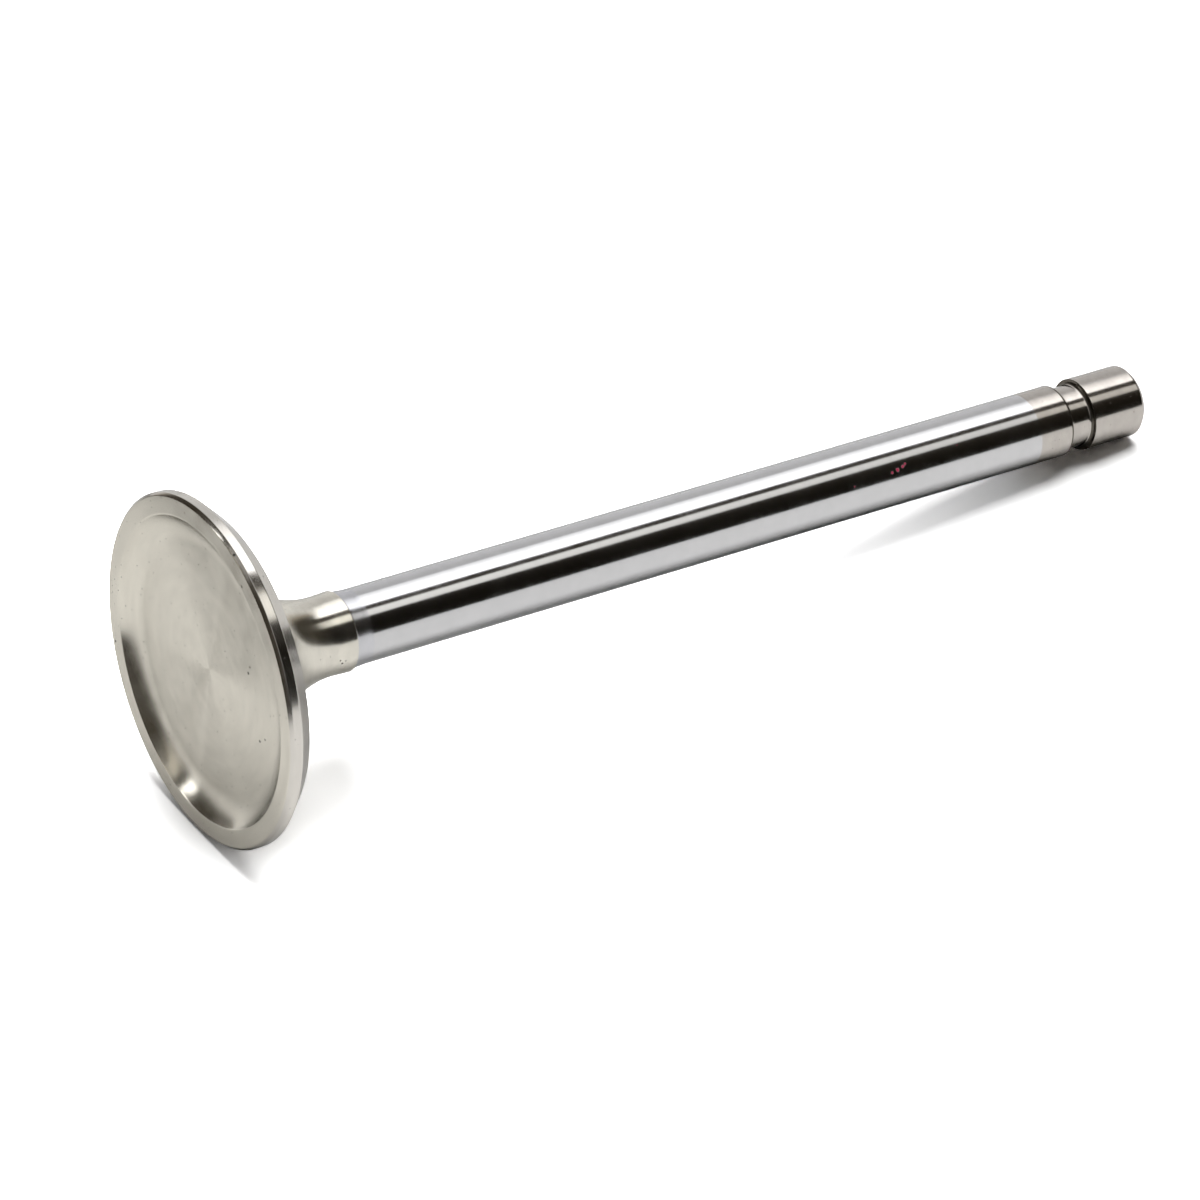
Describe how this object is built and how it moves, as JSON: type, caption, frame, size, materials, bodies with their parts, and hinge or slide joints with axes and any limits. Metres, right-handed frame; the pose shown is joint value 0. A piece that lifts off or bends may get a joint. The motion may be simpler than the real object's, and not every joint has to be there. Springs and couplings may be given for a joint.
{
  "type": "engine valve",
  "caption": "Poppet valve with a dished head, a 45 degree seat, a plated straight stem, a keeper groove and a plain chamfered tip, for opening and closing an engine port.",
  "frame": {"origin": "centre of the flat ring of the valve's face, on the plane that ring lies in", "axes": "+Z along the stem, from the face to the tip; the valve is the same all round, so X and Y may point anywhere"},
  "size_m": [0.0406, 0.0406, 0.1275],
  "materials": {
    "valve_steel": "turned satin face, ground seat and tip, polished hard chrome on the stem"
  },
  "bodies": {
    "root": {"valve": "valve_steel"}
  },
  "joints": []
}
